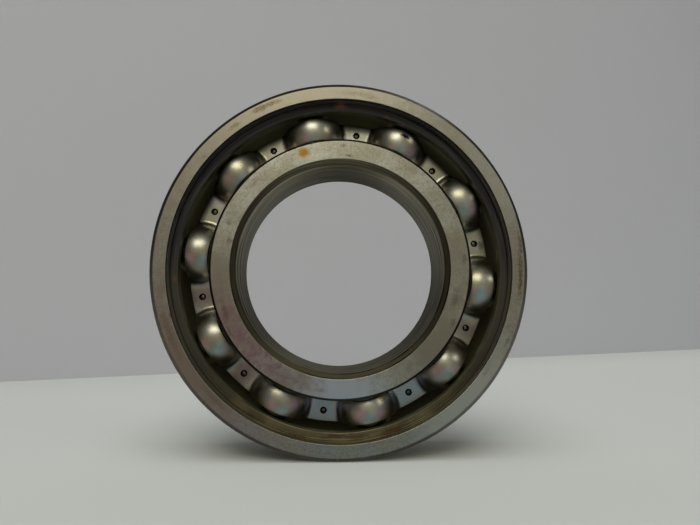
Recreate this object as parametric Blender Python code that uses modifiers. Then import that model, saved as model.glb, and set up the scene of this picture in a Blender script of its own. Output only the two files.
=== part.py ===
"""Single-row deep-groove ball bearing with ten balls and a riveted two-piece ribbon cage.

Metres, +Z up. The origin is the centre of the bore at mid-width. The bearing stands upright on its
rim: its axis is the world's Y axis and its front face looks towards -Y. Every piece is modelled
with the bearing's axis along its own Z, front face up, and hangs on one empty that stands it upright.
"""

import math

import bmesh
import bpy

# Boundary dimensions.
BORE_RADIUS = 0.0250
OUTSIDE_RADIUS = 0.0450
WIDTH = 0.0200
BORE_CHAMFER = 0.0012
OUTSIDE_CHAMFER = 0.0010
EDGE_BREAK = 0.0002

# Balls and raceways.
BALL_COUNT = 10
BALL_RADIUS = 0.00635
PITCH_RADIUS = 0.0350
RACEWAY_GAP = 0.00025
INNER_SHOULDER_RADIUS = 0.0312
OUTER_SHOULDER_RADIUS = 0.0388
INNER_CORNER = 0.00065

# Recess at each side of the outer ring: a groove that could hold a shield's rim, the seat that the
# shield would rest on, and a deeper step down to the shoulder.
RECESS_RADIUS = 0.0410
LIP_WIDTH = 0.0008
GROOVE_RADIUS = 0.0414
SEAT_DEPTH = 0.0013
SEAT_RADIUS = 0.0405
STEP_DEPTH = 0.0025

# Cage: two pressed halves that meet at the middle plane, with a pocket for each ball.
CAGE_INNER_RADIUS = 0.0321
CAGE_OUTER_RADIUS = 0.0376
SHEET = 0.0009
HALF_GAP = 0.0001
POCKET_CLEARANCE = 0.00017
RIVET_HOLE_RADIUS = 0.0009
RIVET_SHANK_RADIUS = 0.0006
RIVET_END_DEPTH = 0.0003
RIVET_HEAD_RADIUS = 0.0013
RIVET_HEAD_HEIGHT = 0.0007
RIVET_HEAD_GAP = 0.0001

# Angle of the first ball about the axis, anticlockwise from +X as seen from the front.
FIRST_BALL_ANGLE = math.radians(29.25)

# Facets.
RING_STEPS = 60
RACEWAY_POINTS = 4
CAGE_STEPS = 40
RIVET_STEPS = 10
SPHERE_SUBDIVISIONS = 3

BALL_STEP = 2 * math.pi / BALL_COUNT
RACEWAY_RADIUS = BALL_RADIUS + RACEWAY_GAP
POCKET_RADIUS = BALL_RADIUS + POCKET_CLEARANCE
DOME_RADIUS = POCKET_RADIUS + SHEET
TAB_FACE = HALF_GAP + SHEET
# Turns the ribbon so that each rivet hole lies inside one facet instead of across an edge.
HALF_FACET = math.pi / CAGE_STEPS


def clear_scene():
    for obj in list(bpy.data.objects):
        bpy.data.objects.remove(obj)
    for collection in list(bpy.data.collections):
        bpy.data.collections.remove(collection)


def new_collection(name):
    collection = bpy.data.collections.new(name)
    bpy.context.scene.collection.children.link(collection)
    return collection


def steel(name, colour, roughness):
    material = bpy.data.materials.new(name)
    material.use_nodes = True
    shader = material.node_tree.nodes["Principled BSDF"]
    shader.inputs["Base Color"].default_value = (*colour, 1.0)
    shader.inputs["Metallic"].default_value = 1.0
    shader.inputs["Roughness"].default_value = roughness
    material.diffuse_color = (*colour, 1.0)
    return material


def add_object(name, mesh, collection, parent=None, material=None):
    obj = bpy.data.objects.new(name, mesh)
    collection.objects.link(obj)
    obj.parent = parent
    if material and not mesh.materials:
        mesh.materials.append(material)
    return obj


def add_empty(name, collection, parent=None):
    empty = add_object(name, None, collection, parent)
    empty.empty_display_size = OUTSIDE_RADIUS
    return empty


def profile_mesh(name, points, closed):
    """Edges through (radius, height) points in the XZ plane, down the outer side."""
    count = len(points)
    edges = [(i, (i + 1) % count) for i in range(count if closed else count - 1)]
    mesh = bpy.data.meshes.new(name)
    mesh.from_pydata([(radius, 0.0, height) for radius, height in points], edges, [])
    return mesh


def turn(obj, steps):
    """Turns a profile about the object's own Z axis."""
    screw = obj.modifiers.new("Turn", "SCREW")
    screw.axis = "Z"
    screw.steps = screw.render_steps = steps
    screw.use_merge_vertices = True
    screw.merge_threshold = 0.00001
    screw.use_smooth_shade = True
    return obj


def turned(name, points, steps, collection, parent=None, material=None, closed=True):
    mesh = profile_mesh(name, points, closed)
    return turn(add_object(name, mesh, collection, parent, material), steps)


def both_sides(half):
    """The whole profile from its front half; a point on the middle plane is kept once."""
    return half + [(radius, -height) for radius, height in reversed(half) if height > 0]


def raceway_arc(shoulder_radius, side):
    """Half of a raceway, from its deepest point at the middle plane to the shoulder's edge.

    side is 1 for the outer ring, whose raceway is deepest outwards, and -1 for the inner ring.
    """
    end = math.acos(abs(shoulder_radius - PITCH_RADIUS) / RACEWAY_RADIUS)
    angles = [end * i / RACEWAY_POINTS for i in range(RACEWAY_POINTS + 1)]
    return [
        (PITCH_RADIUS + side * RACEWAY_RADIUS * math.cos(a), RACEWAY_RADIUS * math.sin(a))
        for a in angles
    ]


def outer_ring_profile():
    face = WIDTH / 2
    lip = face - LIP_WIDTH
    seat = face - SEAT_DEPTH
    step = face - STEP_DEPTH
    half = raceway_arc(OUTER_SHOULDER_RADIUS, 1) + [
        (OUTER_SHOULDER_RADIUS, step - EDGE_BREAK),
        (OUTER_SHOULDER_RADIUS + EDGE_BREAK, step),
        (SEAT_RADIUS, step),
        (SEAT_RADIUS, seat),
        (GROOVE_RADIUS, seat),
        (RECESS_RADIUS, lip),
        (RECESS_RADIUS, face - EDGE_BREAK),
        (RECESS_RADIUS + EDGE_BREAK, face),
        (OUTSIDE_RADIUS - OUTSIDE_CHAMFER, face),
        (OUTSIDE_RADIUS, face - OUTSIDE_CHAMFER),
    ]
    return both_sides(half)


def inner_ring_profile():
    face = WIDTH / 2
    half = [
        (BORE_RADIUS, face - BORE_CHAMFER),
        (BORE_RADIUS + BORE_CHAMFER, face),
        (INNER_SHOULDER_RADIUS - INNER_CORNER, face),
        (INNER_SHOULDER_RADIUS, face - INNER_CORNER),
    ] + raceway_arc(INNER_SHOULDER_RADIUS, -1)[::-1]
    return both_sides(half)


def rivet_profile():
    """A round-headed rivet: its head is behind the rear tab, its end just inside the front one."""
    end = TAB_FACE - RIVET_END_DEPTH
    head_face = -(TAB_FACE + RIVET_HEAD_GAP)
    return [
        (0.0, end),
        (RIVET_SHANK_RADIUS, end - RIVET_HEAD_GAP),
        (RIVET_SHANK_RADIUS, head_face),
        (RIVET_HEAD_RADIUS, head_face),
        (RIVET_HEAD_RADIUS, head_face - RIVET_HEAD_HEIGHT * 0.35),
        (RIVET_HEAD_RADIUS * 0.70, head_face - RIVET_HEAD_HEIGHT * 0.85),
        (0.0, head_face - RIVET_HEAD_HEIGHT),
    ]


def sphere_mesh(name, radius):
    mesh = bpy.data.meshes.new(name)
    form = bmesh.new()
    bmesh.ops.create_icosphere(form, subdivisions=SPHERE_SUBDIVISIONS, radius=radius)
    form.to_mesh(mesh)
    form.free()
    mesh.shade_smooth()
    return mesh


def cylinder_mesh(name, radius, height, segments):
    mesh = bpy.data.meshes.new(name)
    form = bmesh.new()
    bmesh.ops.create_cone(
        form, cap_ends=True, segments=segments, radius1=radius, radius2=radius, depth=height
    )
    form.to_mesh(mesh)
    form.free()
    return mesh


def on_pitch_circle(obj, angle):
    """Puts an object on the pitch circle, turned so that its own X points outwards."""
    obj.location = (PITCH_RADIUS * math.cos(angle), PITCH_RADIUS * math.sin(angle), 0.0)
    obj.rotation_euler.z = angle
    return obj


def as_cutter(obj):
    obj.hide_render = True
    obj.display_type = "WIRE"
    return obj


def cutter_ring(name, mesh, collection, parent, phase):
    """One collection of equal cutters round the pitch circle, phase steps past the first ball."""
    ring = bpy.data.collections.new(name)
    collection.children.link(ring)
    for index in range(BALL_COUNT):
        cutter = as_cutter(add_object(f"{name}_{index + 1:02d}", mesh, ring, parent))
        on_pitch_circle(cutter, (index + phase) * BALL_STEP)
    return ring


def boolean(obj, name, operation, other):
    modifier = obj.modifiers.new(name, "BOOLEAN")
    modifier.operation = operation
    modifier.solver = "EXACT"
    if isinstance(other, bpy.types.Collection):
        modifier.operand_type = "COLLECTION"
        modifier.collection = other
    else:
        modifier.object = other


def band_profile(inner, outer, low, high):
    return [(outer, high), (outer, low), (inner, low), (inner, high)]


def cage_half(name, side, parts, cutters, parent, material, domes, pockets, holes):
    """One pressed half: a flat ribbon with domes, cut to its width and then hollowed."""
    margin = SHEET
    near, far = sorted((side * HALF_GAP, side * (DOME_RADIUS + margin)))
    band = turned(
        f"{name}_band",
        band_profile(CAGE_INNER_RADIUS, CAGE_OUTER_RADIUS, near, far),
        CAGE_STEPS,
        cutters,
        parent,
    )
    as_cutter(band)
    band.rotation_euler.z = HALF_FACET
    low, high = sorted((-side * margin, side * TAB_FACE))
    ribbon = turned(
        name,
        band_profile(CAGE_INNER_RADIUS - margin, CAGE_OUTER_RADIUS + margin, low, high),
        CAGE_STEPS,
        parts,
        parent,
        material,
    )
    ribbon.rotation_euler.z = HALF_FACET
    boolean(ribbon, "Domes", "UNION", domes)
    boolean(ribbon, "Width", "INTERSECT", band)
    boolean(ribbon, "Pockets", "DIFFERENCE", pockets)
    boolean(ribbon, "Rivet holes", "DIFFERENCE", holes)
    return ribbon


def build_rings(parts, upright):
    outer = steel("outer_ring_steel", (0.46, 0.45, 0.40), 0.36)
    inner = steel("inner_ring_steel", (0.50, 0.49, 0.43), 0.34)
    turned("outer_ring", outer_ring_profile(), RING_STEPS, parts, upright, outer)
    turned("inner_ring", inner_ring_profile(), RING_STEPS, parts, upright, inner)


def build_cage(parts, cutters, cage_axis):
    pressed = steel("cage_steel", (0.48, 0.46, 0.42), 0.30)
    dome = sphere_mesh("dome", DOME_RADIUS)
    pocket = sphere_mesh("pocket", POCKET_RADIUS)
    hole = cylinder_mesh("rivet_hole", RIVET_HOLE_RADIUS, 4 * TAB_FACE, RIVET_STEPS)
    domes = cutter_ring("domes", dome, cutters, cage_axis, 0.0)
    pockets = cutter_ring("pockets", pocket, cutters, cage_axis, 0.0)
    holes = cutter_ring("rivet_holes", hole, cutters, cage_axis, 0.5)
    for name, side in (("cage_front_half", 1), ("cage_rear_half", -1)):
        cage_half(name, side, parts, cutters, cage_axis, pressed, domes, pockets, holes)


def build_rivets(parts, cage_axis):
    material = steel("rivet_steel", (0.42, 0.40, 0.36), 0.40)
    for index in range(BALL_COUNT):
        name = f"rivet_{index + 1:02d}"
        rivet = turned(name, rivet_profile(), RIVET_STEPS, parts, cage_axis, material, False)
        on_pitch_circle(rivet, (index + 0.5) * BALL_STEP)


def build_balls(parts, cage_axis):
    material = steel("ball_steel", (0.62, 0.62, 0.61), 0.10)
    mesh = sphere_mesh("ball", BALL_RADIUS)
    for index in range(BALL_COUNT):
        ball = add_object(f"ball_{index + 1:02d}", mesh, parts, cage_axis, material)
        on_pitch_circle(ball, index * BALL_STEP)


def main():
    clear_scene()
    parts = new_collection("ball_bearing")
    cutters = new_collection("cutters")
    upright = add_empty("bearing_axis", parts)
    upright.rotation_euler.x = math.pi / 2
    cage_axis = add_empty("cage_axis", parts, upright)
    cage_axis.rotation_euler.z = FIRST_BALL_ANGLE
    build_rings(parts, upright)
    build_cage(parts, cutters, cage_axis)
    build_rivets(parts, cage_axis)
    build_balls(parts, cage_axis)


main()
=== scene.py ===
"""Looks of the ball bearing: fine rings, pressed cage, rivets and balls, their finishes, and the studio.

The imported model's frame: the bearing's axis is Y, its front face looks towards -Y, it stands on its
rim and the origin is the centre of the bore. Angles are about the axis, anticlockwise from +X as seen
from the front. Shapes and finishes are worked out in millimetres, and MM turns them into metres.
"""

import math

import bmesh
import bpy
from mathutils import Matrix, Vector


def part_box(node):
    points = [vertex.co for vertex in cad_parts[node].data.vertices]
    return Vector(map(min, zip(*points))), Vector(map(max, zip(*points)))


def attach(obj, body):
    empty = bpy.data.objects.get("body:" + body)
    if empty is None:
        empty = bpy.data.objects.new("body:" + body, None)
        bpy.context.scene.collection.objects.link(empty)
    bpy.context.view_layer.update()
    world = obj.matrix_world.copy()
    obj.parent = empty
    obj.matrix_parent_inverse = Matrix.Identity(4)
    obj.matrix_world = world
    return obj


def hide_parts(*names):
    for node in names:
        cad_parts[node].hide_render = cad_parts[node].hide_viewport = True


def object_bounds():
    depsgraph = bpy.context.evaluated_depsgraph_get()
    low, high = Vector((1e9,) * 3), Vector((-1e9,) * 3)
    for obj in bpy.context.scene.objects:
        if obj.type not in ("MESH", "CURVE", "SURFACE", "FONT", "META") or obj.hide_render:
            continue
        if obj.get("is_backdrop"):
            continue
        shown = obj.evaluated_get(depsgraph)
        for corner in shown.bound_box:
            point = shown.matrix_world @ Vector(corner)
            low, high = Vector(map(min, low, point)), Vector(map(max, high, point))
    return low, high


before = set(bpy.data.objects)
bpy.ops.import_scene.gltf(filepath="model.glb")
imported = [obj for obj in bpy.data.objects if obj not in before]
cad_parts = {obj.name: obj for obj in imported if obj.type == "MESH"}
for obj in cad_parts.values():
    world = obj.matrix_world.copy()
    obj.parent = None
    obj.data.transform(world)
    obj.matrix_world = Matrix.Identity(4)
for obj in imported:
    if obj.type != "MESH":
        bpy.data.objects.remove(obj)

CAD_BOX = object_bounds()
MM = 0.001

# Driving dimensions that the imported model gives.
ROUNDING = 0.0005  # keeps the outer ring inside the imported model's box
OUTSIDE_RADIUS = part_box("outer_ring")[1].x / MM - ROUNDING
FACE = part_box("outer_ring")[1].y / MM
INNER_SHOULDER_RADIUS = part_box("inner_ring")[1].x / MM
FLOOR = CAD_BOX[0][2] / MM
BALL_CENTRE = sum(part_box("ball_01"), Vector()) / (2 * MM)
BALL_RADIUS = (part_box("ball_01")[1].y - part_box("ball_01")[0].y) / (2 * MM)
PITCH_RADIUS = math.hypot(BALL_CENTRE.x, BALL_CENTRE.z)
FIRST_BALL_ANGLE = math.atan2(BALL_CENTRE.z, BALL_CENTRE.x)
BALL_COUNT = sum(name.startswith("ball_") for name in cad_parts)
BALL_STEP = 2 * math.pi / BALL_COUNT

# Rings.
BORE_RADIUS = 25.0
BORE_CHAMFER = 1.2
OUTSIDE_CHAMFER = 1.0
RACEWAY_RADIUS = 6.6
OUTER_SHOULDER_RADIUS = 38.8
INNER_CORNER = 0.65
RECESS_RADIUS = 41.0
LIP_WIDTH = 0.8
GROOVE_RADIUS = 41.4
SEAT_DEPTH = 1.3
SEAT_RADIUS = 40.5
STEP_DEPTH = 2.5

# Cage: pressed sheet whose tabs turn up into a dome over each ball.
CAGE_INNER_RADIUS = 32.1
CAGE_OUTER_RADIUS = 37.6
SHEET = 0.9
TAB_FACE = 1.0
DOME_RADIUS = 7.42
BEND_RADIUS = 1.3
BEND_HEIGHT = TAB_FACE + BEND_RADIUS
BEND_REACH = math.sqrt((DOME_RADIUS + BEND_RADIUS) ** 2 - BEND_HEIGHT**2)
BEND_TILT = math.atan2(BEND_REACH, BEND_HEIGHT)
CROWN_TILT = math.radians(27.5)
SHEET_EDGE = 0.14

# Rivets.
HOLE_RADIUS = 0.8
HOLE_FLARE = 0.08
SHANK_RADIUS = 0.6
RIVET_END = 0.7
HEAD_RADIUS = 1.3
HEAD_FACE = 1.1
HEAD_HEIGHT = 0.7
HEAD_POINTS = 8
END_DOME = 0.12
END_ROUNDING = 0.3

# Fineness of the meshes.
RING_STEPS = 240
RACEWAY_POINTS = 14
ARC_POINTS = 4
SUPPORT = 0.04
ROW_SPACING = 0.55
RIVET_STEPS = 32
SPHERE_CUTS = 17
SHARP_ANGLE = math.radians(32)


def make_object(name, mesh, material=None):
    obj = bpy.data.objects.new(name, mesh)
    bpy.context.scene.collection.objects.link(obj)
    if material:
        mesh.materials.clear()
        mesh.materials.append(material)
    return obj


def smooth(mesh):
    mesh.shade_smooth()
    mesh.set_sharp_from_angle(angle=SHARP_ANGLE)
    return mesh


def rounded(corners):
    """The outline through (x, y, radius) corners, each turned into an arc of its radius.

    A point just beyond each end of an arc keeps the shading of the flats beside it flat.
    """
    outline = []
    for index, (x, y, radius) in enumerate(corners):
        corner = Vector((x, y))
        if not radius:
            outline.append(corner)
            continue
        back = (Vector(corners[index - 1][:2]) - corner).normalized()
        ahead = (Vector(corners[(index + 1) % len(corners)][:2]) - corner).normalized()
        half = back.angle(ahead) / 2
        centre = corner + (back + ahead).normalized() * radius / math.sin(half)
        start = corner + back * radius / math.tan(half) - centre
        turn = math.copysign(math.pi - 2 * half, back.cross(ahead))
        outline.append(centre + start + back * SUPPORT)
        for step in range(ARC_POINTS + 1):
            outline.append(centre + Matrix.Rotation(-turn * step / ARC_POINTS, 2) @ start)
        outline.append(corner + ahead * (radius / math.tan(half) + SUPPORT))
    return outline


def turned_mesh(name, outline, steps, closed=True):
    """The solid that a (radius, y) outline sweeps as it turns about the Y axis."""
    form = bmesh.new()
    points = [form.verts.new((radius * MM, y * MM, 0.0)) for radius, y in outline]
    edges = [form.edges.new(pair) for pair in zip(points, points[1:])]
    if closed:
        edges.append(form.edges.new((points[-1], points[0])))
    bmesh.ops.spin(
        form,
        geom=points + edges,
        cent=(0, 0, 0),
        axis=(0, 1, 0),
        angle=2 * math.pi,
        steps=steps,
        use_merge=True,
    )
    bmesh.ops.remove_doubles(form, verts=form.verts, dist=1e-7)
    bmesh.ops.recalc_face_normals(form, faces=form.faces)
    mesh = bpy.data.meshes.new(name)
    form.to_mesh(mesh)
    form.free()
    return smooth(mesh)


def at_pitch_circle(obj, angle):
    """Places an object on the pitch circle, turned with it."""
    obj.location = Vector((math.cos(angle), 0, math.sin(angle))) * PITCH_RADIUS * MM
    obj.rotation_euler.y = -angle
    return obj


# ---------------------------------------------------------------- rings


def both_sides(half):
    """A whole outline from its half at positive y; a point on the middle plane is kept once."""
    return half + [(x, -y, radius) for x, y, radius in reversed(half) if y > 0]


def raceway_arc(shoulder_radius, side):
    """Half of a raceway, from its deepest point to the shoulder: side is 1 outwards, -1 inwards."""
    end = math.acos(abs(shoulder_radius - PITCH_RADIUS) / RACEWAY_RADIUS)
    angles = [end * i / RACEWAY_POINTS for i in range(RACEWAY_POINTS + 1)]
    return [
        (PITCH_RADIUS + side * RACEWAY_RADIUS * math.cos(a), RACEWAY_RADIUS * math.sin(a), 0)
        for a in angles
    ]


def outer_ring_outline():
    step = FACE - STEP_DEPTH
    seat = FACE - SEAT_DEPTH
    half = raceway_arc(OUTER_SHOULDER_RADIUS, 1) + [
        (OUTER_SHOULDER_RADIUS, step, 0.22),
        (SEAT_RADIUS, step, 0.12),
        (SEAT_RADIUS, seat, 0.08),
        (GROOVE_RADIUS, seat, 0.06),
        (RECESS_RADIUS, FACE - LIP_WIDTH, 0.08),
        (RECESS_RADIUS, FACE, 0.12),
        (OUTSIDE_RADIUS - OUTSIDE_CHAMFER, FACE, 0.3),
        (OUTSIDE_RADIUS, FACE - OUTSIDE_CHAMFER, 0.3),
    ]
    return rounded(both_sides(half))


def inner_ring_outline():
    half = [
        (BORE_RADIUS, FACE - BORE_CHAMFER, 0.3),
        (BORE_RADIUS + BORE_CHAMFER, FACE, 0.2),
        (INNER_SHOULDER_RADIUS - INNER_CORNER, FACE, 0.2),
        (INNER_SHOULDER_RADIUS, FACE - INNER_CORNER, 0.2),
    ] + raceway_arc(INNER_SHOULDER_RADIUS, -1)[::-1]
    return rounded(both_sides(half))


# ---------------------------------------------------------------- cage


def pocket_angle(reach, radius):
    """Angle from a ball's radius line to the point of a circle that lies reach from the ball's axis."""
    return math.acos((radius**2 + PITCH_RADIUS**2 - reach**2) / (2 * radius * PITCH_RADIUS))


def on_crown(t, radius, depth):
    """The top of the dome, from the ball's radius line (t = 0) to the wall (t = 1)."""
    sphere = DOME_RADIUS - depth
    angle = t * pocket_angle(sphere * math.sin(CROWN_TILT), radius)
    reach_squared = radius**2 + PITCH_RADIUS**2 - 2 * radius * PITCH_RADIUS * math.cos(angle)
    return angle, math.sqrt(sphere**2 - reach_squared)


def on_wall(t, radius, depth):
    sphere = DOME_RADIUS - depth
    tilt = CROWN_TILT + t * (BEND_TILT - CROWN_TILT)
    return pocket_angle(sphere * math.sin(tilt), radius), sphere * math.cos(tilt)


def on_bend(t, radius, depth):
    tilt = (1 - t) * BEND_TILT
    bend = BEND_RADIUS + depth
    reach = BEND_REACH - bend * math.sin(tilt)
    return pocket_angle(reach, radius), BEND_HEIGHT - bend * math.cos(tilt)


def on_tab(t, radius, depth):
    start = pocket_angle(BEND_REACH, radius)
    return start + t * (BALL_STEP / 2 - start), TAB_FACE - depth


def spaced(zone, count):
    return [(zone, (i + 1) / count) for i in range(count)]


def pocket_stations():
    """(side, zone, t) from the middle of one tab, over a dome, to just before the next tab's middle."""
    half = [(on_crown, 0.0)] + spaced(on_crown, 6) + spaced(on_wall, 10) + spaced(on_bend, 7)
    half += [(on_tab, t) for t in (0.03, 0.25, 0.6, 1.0)]
    return [(-1, *station) for station in half[::-1]] + [(1, *station) for station in half[1:-1]]


def divided(outline, spacing):
    """A closed outline with its long stretches split into equal shorter ones."""
    points = []
    for here, there in zip(outline, outline[1:] + outline[:1]):
        pieces = max(1, round((there - here).length / spacing))
        points += [here.lerp(there, i / pieces) for i in range(pieces)]
    return points


def sheet_section():
    """(radius, depth) points round the sheet, whose four sheared edges are slightly rounded."""
    corners = [
        (CAGE_INNER_RADIUS, 0, SHEET_EDGE),
        (CAGE_OUTER_RADIUS, 0, SHEET_EDGE),
        (CAGE_OUTER_RADIUS, SHEET, SHEET_EDGE),
        (CAGE_INNER_RADIUS, SHEET, SHEET_EDGE),
    ]
    return divided(rounded(corners), ROW_SPACING)


def cage_mesh(name, side):
    """One pressed half: its cross-section is carried round the bearing, over ten domes and tabs."""
    section = sheet_section()
    stations = pocket_stations()
    form = bmesh.new()
    columns = []
    for ball in range(BALL_COUNT):
        middle = FIRST_BALL_ANGLE + ball * BALL_STEP
        for way, zone, t in stations:
            column = []
            for radius, depth in section:
                angle, height = zone(t, radius, depth)
                angle = middle + way * angle
                place = (radius * math.cos(angle), side * height, radius * math.sin(angle))
                column.append(form.verts.new(Vector(place) * MM))
            columns.append(column)
    for here, there in zip(columns, columns[1:] + columns[:1]):
        for i in range(len(section)):
            form.faces.new((here[i - 1], here[i], there[i], there[i - 1]))
    bmesh.ops.recalc_face_normals(form, faces=form.faces)
    mesh = bpy.data.meshes.new(name)
    form.to_mesh(mesh)
    form.free()
    return mesh


def hole_cutters():
    """One object that holds the ten rivet holes, each flared a little at the two outer tab faces."""
    flare = HOLE_RADIUS + HOLE_FLARE
    half = [(0, 2 * TAB_FACE), (flare + HOLE_FLARE, TAB_FACE + HOLE_FLARE)]
    half += [(HOLE_RADIUS, TAB_FACE - HOLE_FLARE)]
    outline = half + [(radius, -y) for radius, y in half[::-1]]
    mesh = turned_mesh("rivet_hole", outline, RIVET_STEPS, closed=False)
    form = bmesh.new()
    for index in range(BALL_COUNT):
        angle = FIRST_BALL_ANGLE + (index + 0.5) * BALL_STEP
        start = len(form.verts)
        form.from_mesh(mesh)
        form.verts.ensure_lookup_table()
        place = Vector((math.cos(angle), 0, math.sin(angle))) * PITCH_RADIUS * MM
        bmesh.ops.translate(form, verts=form.verts[start:], vec=place)
    joined = bpy.data.meshes.new("rivet_holes")
    form.to_mesh(joined)
    form.free()
    return make_object("rivet_holes", joined)


def cut(obj, cutter):
    """Takes the cutter out of an object, and keeps the result as the object's own mesh."""
    modifier = obj.modifiers.new("Holes", "BOOLEAN")
    modifier.operation = "DIFFERENCE"
    modifier.solver = "EXACT"
    modifier.object = cutter
    graph = bpy.context.evaluated_depsgraph_get()
    result = bpy.data.meshes.new_from_object(obj.evaluated_get(graph))
    obj.modifiers.remove(modifier)
    obj.data = smooth(result)


# ---------------------------------------------------------------- rivets and balls


def rivet_outline():
    """From the end in the front tab's hole to the top of the round head behind the rear tab."""
    sphere = (HEAD_RADIUS**2 + HEAD_HEIGHT**2) / (2 * HEAD_HEIGHT)
    widest = math.asin(HEAD_RADIUS / sphere)
    corners = [
        (0, -RIVET_END, 0),
        (SHANK_RADIUS, -RIVET_END + END_DOME, END_ROUNDING),
        (SHANK_RADIUS, HEAD_FACE, 0),
        (HEAD_RADIUS, HEAD_FACE, 0.06),
    ]
    outline = rounded(corners + [(HEAD_RADIUS, HEAD_FACE + HEAD_HEIGHT, 0)])[:-1]
    for i in range(1, HEAD_POINTS + 1):
        tilt = widest * (1 - i / HEAD_POINTS)
        rise = sphere * math.cos(tilt) - (sphere - HEAD_HEIGHT)
        outline.append(Vector((sphere * math.sin(tilt), HEAD_FACE + max(rise, 0.12))))
    return outline


def ball_mesh():
    """A sphere of even quads, from a cube whose points are moved out to the ball's radius."""
    form = bmesh.new()
    bmesh.ops.create_cube(form, size=2.0)
    bmesh.ops.subdivide_edges(form, edges=form.edges, cuts=SPHERE_CUTS, use_grid_fill=True)
    for vert in form.verts:
        vert.co = Vector(math.tan(c * math.pi / 4) for c in vert.co).normalized()
        vert.co *= BALL_RADIUS * MM
    mesh = bpy.data.meshes.new("ball")
    form.to_mesh(mesh)
    form.free()
    mesh.shade_smooth()
    return mesh


# ---------------------------------------------------------------- finishes


class Finish:
    """Short calls for the nodes of one material. An input is a number, a colour or a socket."""

    def __init__(self, name):
        self.material = bpy.data.materials.new(name)
        self.material.use_nodes = True
        self.tree = self.material.node_tree
        self.shader = self.tree.nodes["Principled BSDF"]
        self.place = self.add("ShaderNodeTexCoord").outputs["Object"]

    def feed(self, socket, value):
        if isinstance(value, bpy.types.NodeSocket):
            self.tree.links.new(value, socket)
        else:
            socket.default_value = value

    def add(self, kind, inputs=(), **settings):
        node = self.tree.nodes.new(kind)
        for key, value in settings.items():
            setattr(node, key, value)
        for socket, value in inputs:
            self.feed(node.inputs[socket], value)
        return node

    def math(self, operation, *values):
        return self.add("ShaderNodeMath", enumerate(values), operation=operation).outputs[0]

    def vector_math(self, operation, *values):
        return self.add("ShaderNodeVectorMath", enumerate(values), operation=operation).outputs[0]

    def scaled(self, vector, factor):
        inputs = ((0, vector), ("Scale", factor))
        return self.add("ShaderNodeVectorMath", inputs, operation="SCALE").outputs[0]

    def combine(self, x, y, z):
        return self.add("ShaderNodeCombineXYZ", enumerate((x, y, z))).outputs[0]

    def noise(self, vector, scale, detail=3.0, roughness=0.55):
        inputs = (("Vector", vector), ("Scale", scale), ("Detail", detail), ("Roughness", roughness))
        return self.add("ShaderNodeTexNoise", inputs).outputs["Fac"]

    def ease(self, value, low, high, to_low=0.0, to_high=1.0):
        """Runs smoothly from to_low to to_high as the value goes from low to high."""
        inputs = ((0, value), (1, low), (2, high), (3, to_low), (4, to_high))
        node = self.add("ShaderNodeMapRange", inputs, interpolation_type="SMOOTHSTEP")
        return node.outputs["Result"]

    def mix(self, factor, first, second):
        node = self.add("ShaderNodeMix", data_type="RGBA")
        self.feed(node.inputs[0], factor)
        self.feed(node.inputs[6], first)
        self.feed(node.inputs[7], second)
        return node.outputs[2]

    def bump(self, height, distance, strength):
        inputs = (("Height", height), ("Distance", distance), ("Strength", strength))
        return self.add("ShaderNodeBump", inputs).outputs["Normal"]

    def surface(self, **inputs):
        for name, value in inputs.items():
            self.feed(self.shader.inputs[name.replace("_", " ")], value)
        return self.material


def colour(red, green, blue):
    return (red, green, blue, 1.0)


class RingFinish(Finish):
    """Ground bearing steel: turning lines round the axis, oil tint, stains and specks."""

    def __init__(self, name):
        super().__init__(name)
        self.place = self.scaled(self.place, 1 / MM)
        split = self.add("ShaderNodeSeparateXYZ", ((0, self.place),))
        self.x, self.y, self.z = split.outputs
        self.radius = self.vector_math("LENGTH", self.combine(self.x, 0.0, self.z))
        self.radius = self.radius.node.outputs["Value"]
        self.unit_x = self.math("DIVIDE", self.x, self.radius)
        self.unit_z = self.math("DIVIDE", self.z, self.radius)

    def lines(self, per_mm, drift, detail=2.0):
        """Noise drawn out round the axis: it changes fast across the turning lines, slowly along."""
        across = self.math("MULTIPLY", self.radius, per_mm)
        across = self.math("MULTIPLY_ADD", self.unit_x, drift, across)
        deep = self.math("MULTIPLY", self.y, per_mm)
        along = self.math("MULTIPLY", self.unit_z, drift)
        return self.noise(self.combine(across, deep, along), 1.0, detail)

    def band(self, value, low, high, soft=0.1):
        rise = self.ease(value, low - soft, low + soft)
        fall = self.ease(value, high - soft, high + soft, 1.0, 0.0)
        return self.math("MULTIPLY", rise, fall)

    def patch(self, wobble, angle, radius, length, width):
        """A soft, ragged patch at an angle in degrees, drawn out round the axis."""
        turn = math.radians(angle)
        along = self.math("MULTIPLY", self.x, -math.sin(turn))
        along = self.math("MULTIPLY_ADD", self.z, math.cos(turn), along)
        facing = self.math("MULTIPLY", self.x, math.cos(turn))
        facing = self.math("MULTIPLY_ADD", self.z, math.sin(turn), facing)
        across = self.math("DIVIDE", self.math("SUBTRACT", self.radius, radius), width)
        along = self.math("DIVIDE", along, length)
        far = self.vector_math("LENGTH", self.combine(across, along, 0.0)).node.outputs["Value"]
        far = self.math("MULTIPLY_ADD", wobble, 1.6, far)
        return self.math("MULTIPLY", self.ease(far, 1.1, 2.2, 1.0, 0.0), self.ease(facing, 0.0, 5.0))

    def patches(self, table, ragged=1.1, front=True):
        """All the patches of a table; ragged is how many lobes a millimetre holds."""
        wobble = self.noise(self.place, ragged, 3.0)
        total = 0.0
        for angle, radius, length, width, strength in table:
            spot = self.patch(wobble, angle, radius, length, width)
            total = self.math("MULTIPLY_ADD", spot, strength, total)
        total = self.math("MINIMUM", total, 1.0)
        if front:
            total = self.math("MULTIPLY", total, self.ease(self.y, -6.0, -5.0, 1.0, 0.0))
        return total


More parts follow.
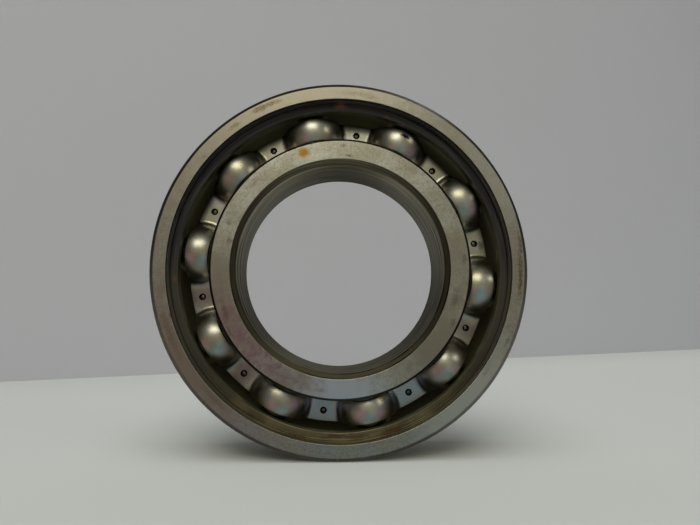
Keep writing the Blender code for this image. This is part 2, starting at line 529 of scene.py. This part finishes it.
STEEL = colour(0.37, 0.365, 0.35)
WARM_STEEL = colour(0.38, 0.36, 0.29)
BRIGHT_STEEL = colour(0.52, 0.515, 0.47)
# Cool blue-grey for a painted reflection.
COOL_REFLECTION_TINT = colour(0.56, 0.60, 0.68)
OIL_TINT = colour(0.25, 0.225, 0.125)
PINK_TINT = colour(0.46, 0.39, 0.37)
# Purple tint, partly painted reflection.
PURPLE_TINT_AND_REFLECTION = colour(0.30, 0.205, 0.225)
# Brown tint for face patches; on the inner face it is partly painted shade.
BROWN_TINT_AND_SHADE = colour(0.30, 0.27, 0.22)
GOLD_OIL = colour(0.25, 0.215, 0.115)
OLIVE_OIL = colour(0.050, 0.043, 0.028)
# Lighter olive oil in the bore, used for its front and, as painted light, for its bottom.
BORE_OIL_AND_LIGHT = colour(0.30, 0.275, 0.175)
# Dark oil in the bore, partly painted shade.
BORE_OIL_AND_SHADE = colour(0.10, 0.095, 0.065)
# Dark olive for the outer ring's inside: painted shade over a little oil.
INSIDE_OIL_AND_SHADE = colour(0.11, 0.10, 0.045)
# Dark oil for grain, specks and lines, also used as painted shade on the outside chamfer, the inner ring's
# corner and the sides of the bore.
DARK_OIL_AND_SHADE = colour(0.045, 0.038, 0.028)
# Black oil for smudges and dried lines, also used as painted shade at the top of the outer ring's recess and
# at the outer edge of the upper cage tabs.
BLACK_OIL_AND_SHADE = colour(0.013, 0.010, 0.013)
GOLDEN_RUST = colour(0.52, 0.28, 0.06)
RED_RUST = colour(0.125, 0.055, 0.030)
BROWN_STAIN = colour(0.13, 0.095, 0.05)
PALE_GRAIN = colour(0.62, 0.61, 0.56)
CAGE_WARM = colour(0.50, 0.49, 0.43)
CAGE_NEUTRAL = colour(0.47, 0.46, 0.46)
CAGE_OLIVE = colour(0.42, 0.38, 0.24)
# Tab tints that are partly painted reflection.
CAGE_BROWN_TINT_AND_REFLECTION = colour(0.28, 0.225, 0.215)
CAGE_BLUE_TINT_AND_REFLECTION = colour(0.38, 0.44, 0.48)
RIVET_STEEL = colour(0.22, 0.21, 0.19)
BALL_STEEL = colour(0.58, 0.58, 0.57)
BALL_OIL = colour(0.50, 0.46, 0.36)

# Tints, stains, and patches that are partly painted reflection and shade: angle in degrees, then radius,
# length, width in mm, and strength.
OUTER_BRIGHT_AND_REFLECTION = ((-45.0, 43.0, 15.0, 4.0, 0.90), (30.0, 43.0, 12.0, 4.0, 0.50))
OUTER_BROWN = ((-148.0, 42.5, 17.0, 3.0, 1.0), (2.0, 43.0, 9.0, 2.5, 0.35), (112.0, 43.0, 36.0, 4.0, 1.0))
OUTER_STAINS = (
    (112.0, 43.0, 1.9, 0.60, 0.70),
    (114.0, 43.0, 1.2, 0.50, 0.60),
    (117.0, 43.0, 2.2, 0.75, 1.00),
    (127.0, 42.5, 1.9, 0.60, 0.65),
    (141.0, 42.0, 0.8, 0.40, 0.40),
    (85.0, 42.5, 3.5, 0.60, 0.40),
    (80.0, 42.0, 1.6, 0.50, 0.40),
    (8.0, 43.5, 2.6, 0.45, 0.80),
    (0.0, 43.0, 4.5, 0.60, 0.85),
    (-6.0, 43.0, 3.2, 0.50, 0.70),
    (-24.0, 43.0, 1.4, 0.50, 0.50),
    (-36.0, 42.0, 1.2, 0.40, 0.45),
    (-158.0, 42.5, 6.0, 0.80, 0.40),
    (-134.0, 42.0, 4.0, 0.70, 0.40),
)
OUTER_RUST = (
    (90.0, 40.0, 1.3, 0.70, 1.00),
    (73.0, 38.5, 0.6, 0.90, 0.80),
    (-92.0, 39.5, 2.2, 0.50, 0.70),
    (-84.0, 40.0, 2.6, 0.50, 0.60),
    (-72.0, 40.0, 3.0, 0.50, 0.80),
    (-104.0, 40.5, 2.0, 0.40, 0.50),
    (-164.0, 41.0, 0.8, 0.45, 0.60),
    (-176.0, 39.5, 1.2, 0.50, 0.60),
)
# On the inner face: duller patches that are partly painted shade, purple patches that are partly painted
# reflection, and a cool patch of painted reflection.
INNER_DULL_AND_SHADE = ((-38.0, 28.5, 11.0, 5.0, 1.0), (2.0, 28.5, 9.0, 5.0, 0.65), (-172.0, 28.5, 9.0, 5.0, 0.80))
INNER_PURPLE_AND_REFLECTION = ((-147.0, 29.0, 12.0, 3.6, 1.0), (-122.0, 28.0, 9.0, 3.0, 0.75))
INNER_COOL_REFLECTION = ((-90.0, 29.0, 10.0, 5.0, 0.95),)
INNER_STAINS = (
    (89.0, 29.5, 0.60, 0.45, 0.80),
    (86.0, 27.0, 0.80, 0.30, 0.80),
    (136.0, 29.0, 2.2, 0.80, 0.35),
    (158.0, 28.5, 0.90, 0.50, 0.55),
    (167.0, 27.0, 1.20, 0.70, 0.60),
    (4.0, 29.5, 1.3, 0.60, 0.60),
    (-16.0, 28.0, 2.6, 0.80, 0.45),
    (-26.0, 29.5, 1.4, 0.60, 0.55),
    (-99.0, 29.0, 1.5, 0.50, 0.35),
)
INNER_GOLDEN = ((108.0, 29.0, 1.5, 1.25, 1.00),)
INNER_RED = ((-159.0, 29.0, 2.4, 0.60, 0.35), (-150.0, 30.0, 2.0, 0.40, 0.40))
# On the cage: brown and cool patches that are partly painted reflection, and dark smudges.
CAGE_BROWN_AND_REFLECTION = ((191.0, 35.0, 2.6, 6.0, 0.9), (227.0, 35.0, 2.6, 6.0, 1.0), (335.0, 35.0, 2.6, 6.0, 0.9))
CAGE_COOL_AND_REFLECTION = ((263.0, 35.0, 5.5, 6.0, 1.0), (299.0, 35.0, 5.5, 6.0, 1.0))
CAGE_SMUDGE = ((64.0, 36.5, 1.3, 0.60, 1.0), (40.0, 35.5, 0.6, 0.40, 0.6), (10.0, 36.5, 1.2, 0.70, 0.5))

# Dark lines of dried oil round the bore: from and to, along the axis.
BORE_LINES = ((-9.95, -9.65), (-9.0, -8.2), (-6.0, -5.0), (-2.4, -1.8), (8.2, 9.0))


def ring_base(finish, fine, steel):
    """(colour, roughness) of clean, slightly oily ground steel: mottled, and finely streaked."""
    cloud = finish.ease(finish.noise(finish.place, 0.12, 3.0), 0.35, 0.65)
    mottle = finish.noise(finish.place, 0.9, 6.0, 0.7)
    hue = finish.ease(finish.noise(finish.place, 0.45, 3.0), 0.40, 0.64)
    tint = finish.mix(cloud, steel, WARM_STEEL)
    tint = finish.mix(finish.ease(mottle, 0.46, 0.66, 0.0, 0.55), tint, OIL_TINT)
    tint = finish.mix(finish.math("MULTIPLY", hue, 0.30), tint, PINK_TINT)
    grain = finish.noise(finish.place, 1.9, 5.0, 0.8)
    tint = finish.mix(finish.ease(grain, 0.49, 0.66, 0.0, 0.36), tint, DARK_OIL_AND_SHADE)
    tint = finish.mix(finish.ease(grain, 0.34, 0.48, 0.40, 0.0), tint, PALE_GRAIN)
    streak = finish.lines(3.0, 6.0, 3.0)
    tint = finish.mix(finish.ease(streak, 0.45, 0.75, 0.0, 0.12), tint, DARK_OIL_AND_SHADE)
    rough = finish.math("MULTIPLY_ADD", mottle, 0.10, 0.27)
    rough = finish.math("MULTIPLY_ADD", fine, 0.08, rough)
    return tint, rough


def outer_ring_finish():
    """Ground faces with stains; the oily recess is gold below, streaked with brown, and black above, the
    black being painted shade. The inside and the outside chamfer are darkened as painted shade, and two
    lighter patches on the face are partly painted reflection.
    """
    finish = RingFinish("outer_ring_ground_steel")
    fine = finish.lines(14.0, 9.0)
    tint, rough = ring_base(finish, fine, STEEL)
    # Lighter steel patches on the outer face, partly painted reflection.
    tint = finish.mix(finish.patches(OUTER_BRIGHT_AND_REFLECTION, 0.3), tint, BRIGHT_STEEL)
    tint = finish.mix(finish.patches(OUTER_BROWN, 0.3), tint, BROWN_TINT_AND_SHADE)
    speckle = finish.ease(finish.noise(finish.place, 2.6, 3.0), 0.38, 0.56, 0.25, 1.0)
    stains = finish.math("MULTIPLY", finish.patches(OUTER_STAINS), speckle)
    tint = finish.mix(stains, tint, BROWN_STAIN)
    depth = finish.math("ABSOLUTE", finish.y)
    recess = finish.band(finish.radius, OUTER_SHOULDER_RADIUS + 0.05, RECESS_RADIUS - 0.05, 0.06)
    recess = finish.math("MULTIPLY", recess, finish.ease(depth, 6.9, 7.3))
    # Painted shade: the surfaces inside the bearing, deeper than the recess, are darkened nearly to black
    # over a little oil.
    inside = finish.ease(depth, 7.3, 7.6, 0.97, 0.0)
    tint = finish.mix(inside, tint, INSIDE_OIL_AND_SHADE)
    # Painted shade over the oil: the recess runs from gold at the bottom through olive to black at the top,
    # where the black stands for the shade under the lip.
    oil = finish.mix(finish.ease(finish.z, -41.0, -22.0), GOLD_OIL, OLIVE_OIL)
    oil = finish.mix(finish.ease(finish.z, -22.0, 14.0), oil, BLACK_OIL_AND_SHADE)
    blotch = finish.ease(finish.noise(finish.place, 0.16, 3.0, 0.5), 0.40, 0.66, 0.0, 0.5)
    blotch = finish.math("MULTIPLY", blotch, finish.ease(finish.z, -10.0, 5.0, 1.0, 0.0))
    oil = finish.mix(blotch, oil, OLIVE_OIL)
    tint = finish.mix(recess, tint, oil)
    grooves = finish.ease(finish.lines(2.0, 3.0, 3.0), 0.44, 0.62, 0.0, 0.7)
    tint = finish.mix(finish.math("MULTIPLY", grooves, recess), tint, DARK_OIL_AND_SHADE)
    rust = finish.patches(OUTER_RUST)
    tint = finish.mix(rust, tint, RED_RUST)
    rough = finish.math("MULTIPLY_ADD", rust, 0.25, rough)
    film = finish.math("MULTIPLY", recess, finish.ease(finish.z, -40.0, 0.0, 0.1, 0.92))
    film = finish.math("MAXIMUM", film, finish.math("MULTIPLY", inside, 0.35))
    rough = finish.math("MULTIPLY_ADD", film, 0.35, rough)
    metal = finish.math("SUBTRACT", 1.0, film)
    # Painted shade: the outside chamfer is darkened.
    corner = finish.band(finish.radius, OUTSIDE_RADIUS - 0.90, OUTSIDE_RADIUS - 0.10, 0.06)
    tint = finish.mix(finish.math("MULTIPLY", corner, 0.45), tint, DARK_OIL_AND_SHADE)
    outside = finish.ease(finish.radius, OUTSIDE_RADIUS - 0.10, OUTSIDE_RADIUS - 0.02)
    tint = finish.mix(finish.math("MULTIPLY", outside, 0.6), tint, BRIGHT_STEEL)
    rough = finish.math("MULTIPLY_ADD", outside, 0.12, rough)
    normal = finish.bump(fine, 0.000012, 0.45)
    return finish.surface(Base_Color=tint, Roughness=rough, Normal=normal, Metallic=metal)


def inner_ring_finish():
    """Ground face with stains; the bore shows wider turning lines, with painted shade on its sides and
    painted light at its bottom. On the face, the cool patch is painted reflection, the purple patches partly
    painted reflection, the duller patches partly painted shade, and the outer corner is painted shade.
    """
    finish = RingFinish("inner_ring_ground_steel")
    fine = finish.lines(14.0, 9.0)
    tint, rough = ring_base(finish, fine, BRIGHT_STEEL)
    # Painted reflection: a cool blue stretch at the bottom of the inner face.
    tint = finish.mix(finish.patches(INNER_COOL_REFLECTION, 0.3), tint, COOL_REFLECTION_TINT)
    # Duller brown patches on the inner face, partly tint and partly painted shade.
    tint = finish.mix(finish.patches(INNER_DULL_AND_SHADE, 0.3), tint, BROWN_TINT_AND_SHADE)
    # Purple patches at the lower left of the inner face, partly tint and partly painted reflection.
    faded = finish.ease(finish.noise(finish.place, 0.55, 5.0, 0.65), 0.40, 0.60, 0.45, 1.0)
    purple = finish.math("MULTIPLY", finish.patches(INNER_PURPLE_AND_REFLECTION, 0.8), faded)
    tint = finish.mix(purple, tint, PURPLE_TINT_AND_REFLECTION)
    speckle = finish.ease(finish.noise(finish.place, 2.6, 3.0), 0.38, 0.56, 0.35, 1.0)
    stains = finish.math("MULTIPLY", finish.patches(INNER_STAINS), speckle)
    tint = finish.mix(stains, tint, BROWN_STAIN)
    tint = finish.mix(finish.patches(INNER_RED, 0.8), tint, RED_RUST)
    golden = finish.patches(INNER_GOLDEN, 0.9)
    tint = finish.mix(golden, tint, GOLDEN_RUST)
    chamfer = BORE_RADIUS + BORE_CHAMFER
    bore = finish.ease(finish.radius, chamfer - 0.1, chamfer + 0.1, 1.0, 0.0)
    rings = finish.ease(finish.lines(1.4, 1.2, 3.0), 0.36, 0.64)
    # The bore: olive oil with turning lines, lighter towards the front; painted shade darkens it overall and
    # on its sides, and painted light brightens its bottom.
    bore_oil_and_shading = finish.mix(finish.ease(finish.y, -7.0, 3.0), BORE_OIL_AND_LIGHT, BORE_OIL_AND_SHADE)
    bore_oil_and_shading = finish.mix(finish.math("MULTIPLY", rings, 0.7), bore_oil_and_shading, BORE_OIL_AND_SHADE)
    sides = finish.band(finish.z, -18.0, 18.0, 4.0)
    bore_oil_and_shading = finish.mix(finish.math("MULTIPLY", sides, 0.40), bore_oil_and_shading, DARK_OIL_AND_SHADE)
    bore_oil_and_shading = finish.mix(finish.ease(finish.z, -24.0, -18.0, 0.45, 0.0), bore_oil_and_shading, BORE_OIL_AND_LIGHT)
    tint = finish.mix(bore, tint, bore_oil_and_shading)
    dried = 0.0
    for low, high in BORE_LINES:
        dried = finish.math("ADD", dried, finish.band(finish.y, low, high, 0.08))
    broken = finish.ease(finish.noise(finish.place, 0.09, 2.0), 0.40, 0.62, 0.25, 0.85)
    broken = finish.math("MULTIPLY", broken, finish.ease(finish.z, -8.0, 16.0, 1.0, 0.2))
    dried = finish.math("MULTIPLY", dried, finish.math("MULTIPLY", bore, broken))
    tint = finish.mix(dried, tint, BLACK_OIL_AND_SHADE)
    rough = finish.math("MULTIPLY_ADD", dried, 0.5, rough)
    rough = finish.math("MULTIPLY_ADD", finish.math("MULTIPLY", rings, bore), 0.2, rough)
    # Painted shade: the outer corner of the inner ring and the raceway beyond it are darkened.
    edge = INNER_SHOULDER_RADIUS - INNER_CORNER
    corner = finish.ease(finish.radius, edge - 0.05, edge + 0.10, 0.0, 0.75)
    tint = finish.mix(corner, tint, DARK_OIL_AND_SHADE)
    rough = finish.math("MULTIPLY_ADD", golden, 0.25, rough)
    normal = finish.bump(fine, 0.000012, 0.45)
    return finish.surface(Base_Color=tint, Roughness=rough, Normal=normal, Metallic=1.0)


def cage_finish():
    """Pressed sheet steel: satin, with faint heat and oil tints, drawn grain and small dark specks. Brown and
    cool patches on some tabs are partly painted reflection, and the outer edge of the upper tabs is painted
    shade.
    """
    finish = RingFinish("cage_pressed_steel")
    cloud = finish.ease(finish.noise(finish.place, 0.34, 4.0, 0.6), 0.42, 0.58)
    hue = finish.ease(finish.noise(finish.place, 0.35, 2.0, 0.4), 0.35, 0.65)
    tint = finish.mix(hue, CAGE_WARM, CAGE_NEUTRAL)
    tint = finish.mix(finish.math("MULTIPLY", cloud, 0.7), tint, CAGE_OLIVE)
    # Brown and cool patches on some tabs, partly tint and partly painted reflection.
    tint = finish.mix(finish.patches(CAGE_BROWN_AND_REFLECTION, 0.3, front=False), tint, CAGE_BROWN_TINT_AND_REFLECTION)
    tint = finish.mix(finish.patches(CAGE_COOL_AND_REFLECTION, 0.3, front=False), tint, CAGE_BLUE_TINT_AND_REFLECTION)
    grain = finish.noise(finish.place, 7.0, 5.0, 0.7)
    speck = finish.ease(finish.noise(finish.place, 2.6, 2.0), 0.68, 0.74)
    tint = finish.mix(finish.math("MULTIPLY", speck, 0.7), tint, DARK_OIL_AND_SHADE)
    tint = finish.mix(finish.patches(CAGE_SMUDGE, 1.6, front=False), tint, BLACK_OIL_AND_SHADE)
    # Painted shade: the outer edge of the upper tabs is darkened nearly to black.
    edge = finish.math("MULTIPLY", finish.ease(finish.radius, 35.9, 37.5), finish.ease(finish.z, 2.0, 18.0))
    tint = finish.mix(finish.math("MULTIPLY", edge, 0.85), tint, BLACK_OIL_AND_SHADE)
    rough = finish.math("MULTIPLY_ADD", grain, 0.10, 0.28)
    normal = finish.bump(grain, 0.00001, 0.35)
    return finish.surface(Base_Color=tint, Roughness=rough, Normal=normal, Metallic=1.0)


def rivet_finish():
    """Dull rivet steel, with oil in the hammered grain."""
    finish = RingFinish("rivet_dull_steel")
    grain = finish.noise(finish.place, 5.0, 4.0, 0.6)
    tint = finish.mix(finish.ease(grain, 0.35, 0.7), RIVET_STEEL, DARK_OIL_AND_SHADE)
    rough = finish.math("MULTIPLY_ADD", grain, 0.25, 0.28)
    normal = finish.bump(grain, 0.00003, 0.4)
    return finish.surface(Base_Color=tint, Roughness=rough, Normal=normal, Metallic=1.0)


def ball_finish():
    """Polished chrome steel under a thin, uneven film of oil."""
    finish = RingFinish("ball_polished_steel")
    film = finish.ease(finish.noise(finish.place, 0.30, 3.0), 0.40, 0.65)
    lapping = finish.noise(finish.place, 12.0, 3.0)
    tint = finish.mix(film, BALL_STEEL, BALL_OIL)
    rough = finish.math("MULTIPLY_ADD", film, 0.10, 0.06)
    normal = finish.bump(lapping, 0.000002, 0.3)
    return finish.surface(Base_Color=tint, Roughness=rough, Normal=normal, Metallic=1.0)


# ---------------------------------------------------------------- pieces


def build_rings():
    mesh = turned_mesh("outer_ring_fine", outer_ring_outline(), RING_STEPS)
    outer = make_object("outer_ring_fine", mesh, outer_ring_finish())
    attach(outer, "outer_ring")
    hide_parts("outer_ring")
    mesh = turned_mesh("inner_ring_fine", inner_ring_outline(), RING_STEPS)
    inner = make_object("inner_ring_fine", mesh, inner_ring_finish())
    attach(inner, "inner_ring")
    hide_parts("inner_ring")


def build_cage():
    material = cage_finish()
    holes = hole_cutters()
    for node, side in (("cage_front_half", -1), ("cage_rear_half", 1)):
        half = make_object(f"{node}_fine", cage_mesh(f"{node}_fine", side), material)
        cut(half, holes)
        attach(half, "cage")
        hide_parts(node)
    bpy.data.objects.remove(holes)


def build_rivets():
    material = rivet_finish()
    mesh = turned_mesh("rivet_fine", rivet_outline(), RIVET_STEPS, closed=False)
    for index in range(BALL_COUNT):
        rivet = make_object(f"rivet_fine_{index + 1:02d}", mesh, material)
        at_pitch_circle(rivet, FIRST_BALL_ANGLE + (index + 0.5) * BALL_STEP)
        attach(rivet, "cage")
        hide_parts(f"rivet_{index + 1:02d}")


def build_balls():
    material = ball_finish()
    mesh = ball_mesh()
    for index in range(BALL_COUNT):
        ball = make_object(f"ball_fine_{index + 1:02d}", mesh, material)
        at_pitch_circle(ball, FIRST_BALL_ANGLE + index * BALL_STEP)
        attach(ball, f"ball_{index + 1:02d}")
        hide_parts(f"ball_{index + 1:02d}")


# ---------------------------------------------------------------- studio

CAMERA_PLACE = Vector((-2.83, -135.78, -9.55))
CAMERA_AIM = Vector((2.12, -10.0, 1.13))
CAMERA_LENS = 27.46

WALL_DISTANCE = 193.0
WALL_TURN = math.radians(21.2)
WALL_TOP = 300.0
WALL_ENDS = (-260.0, 900.0)
FLOOR_REACH = 1500
FLOOR_BACK = 900
FLOOR_COLOUR = colour(0.56, 0.575, 0.545)
WALL_COLOUR = colour(0.525, 0.525, 0.565)

# The room that the steel reflects: grey, with soft tinted cards. Azimuth, elevation and reach in degrees.
BACKDROP_COLOUR = colour(0.40, 0.405, 0.40)
ROOM_COLOUR = colour(0.050, 0.050, 0.050)
ROOM_CARDS = (
    (0.0, 0.0, 84.0, colour(0.095, 0.095, 0.090)),
    (10.0, -33.0, 28.0, colour(0.02, 0.18, 0.22)),
    (-28.0, -16.0, 24.0, colour(0.19, 0.045, 0.075)),
    (52.0, -20.0, 28.0, colour(0.17, 0.08, 0.12)),
    (-52.0, -22.0, 28.0, colour(0.11, 0.10, 0.085)),
    (22.0, -4.0, 24.0, colour(0.16, 0.15, 0.11)),
    (-20.0, 2.0, 20.0, colour(0.045, 0.04, 0.02)),
    (-2.0, 24.0, 40.0, colour(0.20, 0.195, 0.135)),
    (0.0, 78.0, 32.0, colour(0.07, 0.07, 0.055)),
    (0.0, -75.0, 48.0, colour(0.18, 0.18, 0.165)),
    (178.0, 2.0, 40.0, colour(0.12, 0.12, 0.095)),
    (138.0, -20.0, 38.0, colour(0.56, 0.56, 0.52)),
    (-138.0, -20.0, 38.0, colour(0.56, 0.56, 0.52)),
)


def towards(azimuth, elevation):
    """Unit vector from the bearing: azimuth 0 is in front, positive to the right."""
    across, up = math.radians(azimuth), math.radians(elevation)
    return Vector((math.sin(across) * math.cos(up), -math.cos(across) * math.cos(up), math.sin(up)))


def matt(name, tint):
    """Painted board: one pale colour with a trace of unevenness."""
    finish = Finish(name)
    cloud = finish.noise(finish.place, 6.0, 2.0)
    darker = tuple(0.96 * value for value in tint[:3]) + (1.0,)
    return finish.surface(Base_Color=finish.mix(cloud, tint, darker), Roughness=0.75)


def board(name, corners, material):
    mesh = bpy.data.meshes.new(name)
    mesh.from_pydata([Vector(corner) * MM for corner in corners], [], [(0, 1, 2, 3)])
    obj = make_object(name, mesh, material)
    obj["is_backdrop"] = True
    return obj


def build_stage():
    floor = [(-FLOOR_REACH, -FLOOR_REACH, FLOOR), (FLOOR_REACH, -FLOOR_REACH, FLOOR)]
    floor += [(FLOOR_REACH, FLOOR_BACK, FLOOR), (-FLOOR_REACH, FLOOR_BACK, FLOOR)]
    # The boards are hidden from reflections: the steel reflects the room's tints in their place.
    board("studio_floor", floor, matt("floor_board", FLOOR_COLOUR)).visible_glossy = False
    ends = []
    for reach in WALL_ENDS:
        ends.append((reach * math.cos(WALL_TURN), WALL_DISTANCE + reach * math.sin(WALL_TURN)))
    (left, near), (right, far) = ends
    wall = [(left, near, FLOOR), (right, far, FLOOR)]
    wall += [(right, far, WALL_TOP), (left, near, WALL_TOP)]
    board("studio_wall", wall, matt("wall_board", WALL_COLOUR)).visible_glossy = False


def area_light(name, azimuth, elevation, distance, width, height, radiance, tint):
    """A soft rectangular light that faces the bearing."""
    light = bpy.data.lights.new(name, "AREA")
    light.shape = "RECTANGLE"
    light.size = width * MM
    light.size_y = height * MM
    light.energy = radiance * math.pi * light.size * light.size_y
    light.color = tint
    lamp = make_object(name, light)
    ray = towards(azimuth, elevation)
    lamp.location = ray * distance * MM
    lamp.rotation_euler = ray.to_track_quat("Z", "Y").to_euler()
    lamp.visible_camera = False
    return lamp


def room():
    """World shader: a dim room with wide, soft cards for the steel to reflect; the camera sees plain grey."""
    world = bpy.data.worlds.new("studio")
    world.use_nodes = True
    nodes, links = world.node_tree.nodes, world.node_tree.links

    def blend(factor, first, second, blend_type="MIX"):
        node = nodes.new("ShaderNodeMix")
        node.data_type = "RGBA"
        node.blend_type = blend_type
        for socket, value in ((0, factor), (6, first), (7, second)):
            if isinstance(value, bpy.types.NodeSocket):
                links.new(value, node.inputs[socket])
            else:
                node.inputs[socket].default_value = value
        return node.outputs[2]

    direction = nodes.new("ShaderNodeTexCoord").outputs["Generated"]
    total = ROOM_COLOUR
    for azimuth, elevation, reach, tint in ROOM_CARDS:
        facing = nodes.new("ShaderNodeVectorMath")
        facing.operation = "DOT_PRODUCT"
        facing.inputs[1].default_value = towards(azimuth, elevation)
        links.new(direction, facing.inputs[0])
        card = nodes.new("ShaderNodeMapRange")
        card.interpolation_type = "SMOOTHSTEP"
        card.inputs["From Min"].default_value = math.cos(math.radians(reach))
        card.inputs["From Max"].default_value = 1.0
        links.new(facing.outputs["Value"], card.inputs["Value"])
        total = blend(card.outputs["Result"], total, tint, "ADD")
    seen = nodes.new("ShaderNodeLightPath").outputs["Is Camera Ray"]
    links.new(blend(seen, total, BACKDROP_COLOUR), nodes["Background"].inputs["Color"])
    bpy.context.scene.world = world


def build_lights():
    area_light("key_light", -8, 36, 700, 390, 260, 3.1, (1.0, 0.99, 0.80))
    area_light("side_light", 50, 23, 700, 130, 110, 4.5, (1.0, 0.97, 0.80))
    area_light("back_light", 150, 50, 240, 110, 80, 1.6, (1.0, 1.0, 0.95)).visible_diffuse = False
    boards = bpy.data.lights.new("boards_light", "SUN")
    boards.energy = 2.1
    boards.angle = math.radians(55)
    boards.color = (0.97, 0.985, 1.0)
    lamp = make_object("boards_light", boards)
    lamp.rotation_euler = towards(-12, 70).to_track_quat("Z", "Y").to_euler()
    lamp.visible_glossy = False
    room()


def build_camera():
    camera = bpy.data.cameras.new("camera")
    camera.lens = CAMERA_LENS
    camera.sensor_width = 36.0
    camera.clip_start = 0.005
    camera.clip_end = 10.0
    obj = make_object("camera", camera)
    obj.location = CAMERA_PLACE * MM
    obj.rotation_euler = (CAMERA_AIM - CAMERA_PLACE).to_track_quat("-Z", "Y").to_euler()
    bpy.context.scene.camera = obj


def main():
    build_rings()
    build_cage()
    build_rivets()
    build_balls()
    build_stage()
    build_lights()
    build_camera()
    bpy.context.scene.view_settings.view_transform = "Standard"


main()

sizes = {"cad": CAD_BOX, "visual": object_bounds()}
sizes = {key: [list(corner) for corner in box] for key, box in sizes.items()}
